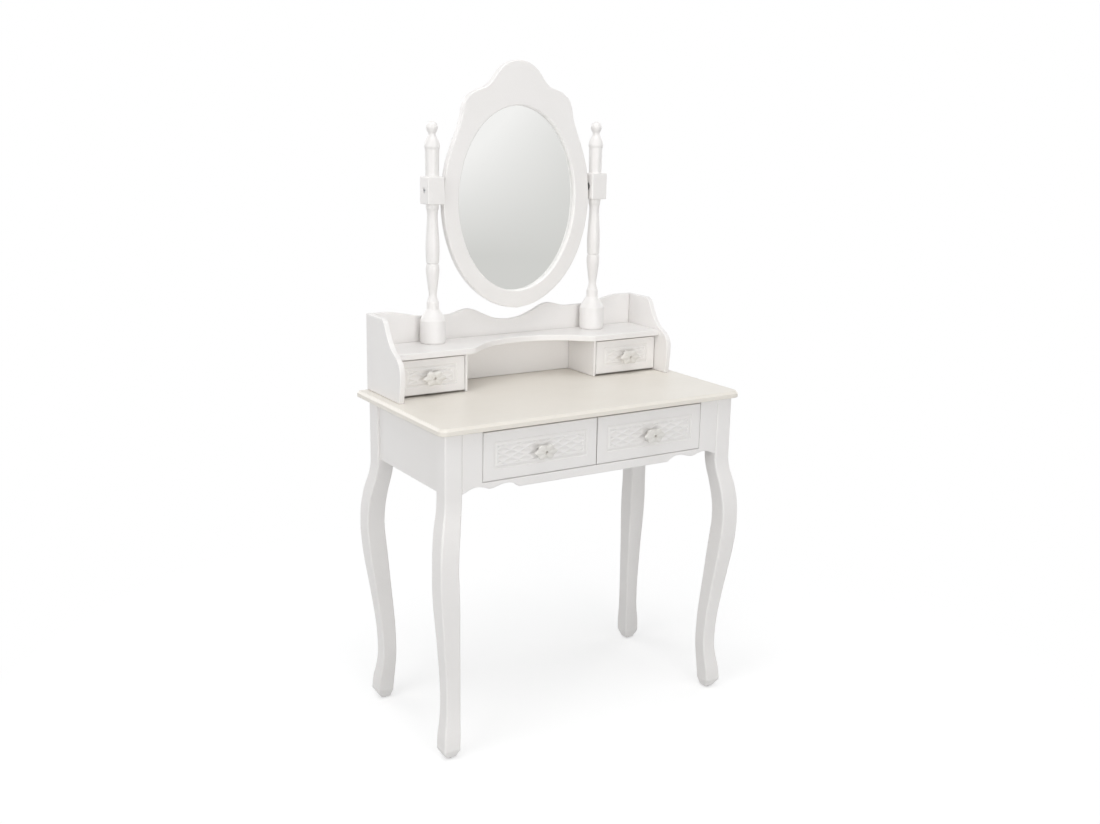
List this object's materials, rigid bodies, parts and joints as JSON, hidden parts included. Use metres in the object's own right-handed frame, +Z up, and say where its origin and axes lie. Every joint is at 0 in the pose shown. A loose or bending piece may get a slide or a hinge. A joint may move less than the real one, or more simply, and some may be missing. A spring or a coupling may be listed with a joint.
{
  "type": "dressing table",
  "caption": "White dressing table on curved legs, with drawers, a small hutch and an oval mirror that tilts between turned posts.",
  "frame": {"origin": "floor level, in the middle of the footprint from the pulls' tips to the back", "axes": "+X to the right of someone sitting at the table, +Y towards the wall behind it, +Z up"},
  "size_m": [0.7632, 0.4078, 1.429],
  "materials": {
    "white_paint": "satin white lacquer on wood board",
    "top_paint": "satin cream lacquer on wood board",
    "drawer_board": "pale foil on drawer board",
    "hardboard": "bare hardboard",
    "pull_enamel": "antique white enamel on cast metal",
    "zinc_steel": "zinc plated",
    "silvered_glass": "silvered",
    "dark_plastic": "moulded"
  },
  "bodies": {
    "table": {"back_apron": "white_paint", "corner_bracket_back_left": "zinc_steel", "corner_bracket_back_right": "zinc_steel", "corner_bracket_front_left": "zinc_steel", "corner_bracket_front_right": "zinc_steel", "desktop": "top_paint", "drawer_guide_left": "drawer_board", "drawer_guide_right": "drawer_board", "drawer_partition": "drawer_board", "front_frame": "white_paint", "hanger_bolt_back_left": "zinc_steel", "hanger_bolt_back_right": "zinc_steel", "hanger_bolt_front_left": "zinc_steel", "hanger_bolt_front_right": "zinc_steel", "hutch_back": "white_paint", "hutch_divider_left": "white_paint", "hutch_divider_right": "white_paint", "hutch_shelf": "white_paint", "hutch_side_left": "white_paint", "hutch_side_right": "white_paint", "leg_back_left": "white_paint", "leg_back_right": "white_paint", "leg_front_left": "white_paint", "leg_front_right": "white_paint", "leg_glide_back_left": "dark_plastic", "leg_glide_back_right": "dark_plastic", "leg_glide_front_left": "dark_plastic", "leg_glide_front_right": "dark_plastic", "mirror_post_left": "white_paint", "mirror_post_right": "white_paint", "side_apron_left": "white_paint", "side_apron_right": "white_paint"},
    "large_left_drawer": {"large_left_front": "white_paint", "large_left_wrap": "drawer_board", "large_left_bottom": "drawer_board", "large_left_pull": "pull_enamel", "large_left_screw": "zinc_steel"},
    "large_right_drawer": {"large_right_front": "white_paint", "large_right_wrap": "drawer_board", "large_right_bottom": "drawer_board", "large_right_pull": "pull_enamel", "large_right_screw": "zinc_steel"},
    "small_left_drawer": {"small_left_front": "white_paint", "small_left_wrap": "drawer_board", "small_left_bottom": "drawer_board", "small_left_pull": "pull_enamel", "small_left_screw": "zinc_steel"},
    "small_right_drawer": {"small_right_front": "white_paint", "small_right_wrap": "drawer_board", "small_right_bottom": "drawer_board", "small_right_pull": "pull_enamel", "small_right_screw": "zinc_steel"},
    "mirror": {"mirror_frame": "white_paint", "mirror_glass": "silvered_glass", "mirror_backing": "hardboard", "pivot_bolt_left": "zinc_steel", "pivot_bolt_right": "zinc_steel", "pivot_spacer_left": "dark_plastic", "pivot_spacer_right": "dark_plastic"}
  },
  "joints": [
    {"name": "large_left_slide", "type": "slide", "parent": "table", "child": "large_left_drawer", "axis": [0, -1, 0], "range_m": [0, 0.225]},
    {"name": "large_right_slide", "type": "slide", "parent": "table", "child": "large_right_drawer", "axis": [0, -1, 0], "range_m": [0, 0.225]},
    {"name": "small_left_slide", "type": "slide", "parent": "table", "child": "small_left_drawer", "axis": [0, -1, 0], "range_m": [0, 0.07]},
    {"name": "small_right_slide", "type": "slide", "parent": "table", "child": "small_right_drawer", "axis": [0, -1, 0], "range_m": [0, 0.07]},
    {"name": "mirror_tilt", "type": "hinge", "parent": "table", "child": "mirror", "pos_m": [0, 0.1629, 1.1525], "axis": [1, 0, 0], "continuous": true}
  ]
}
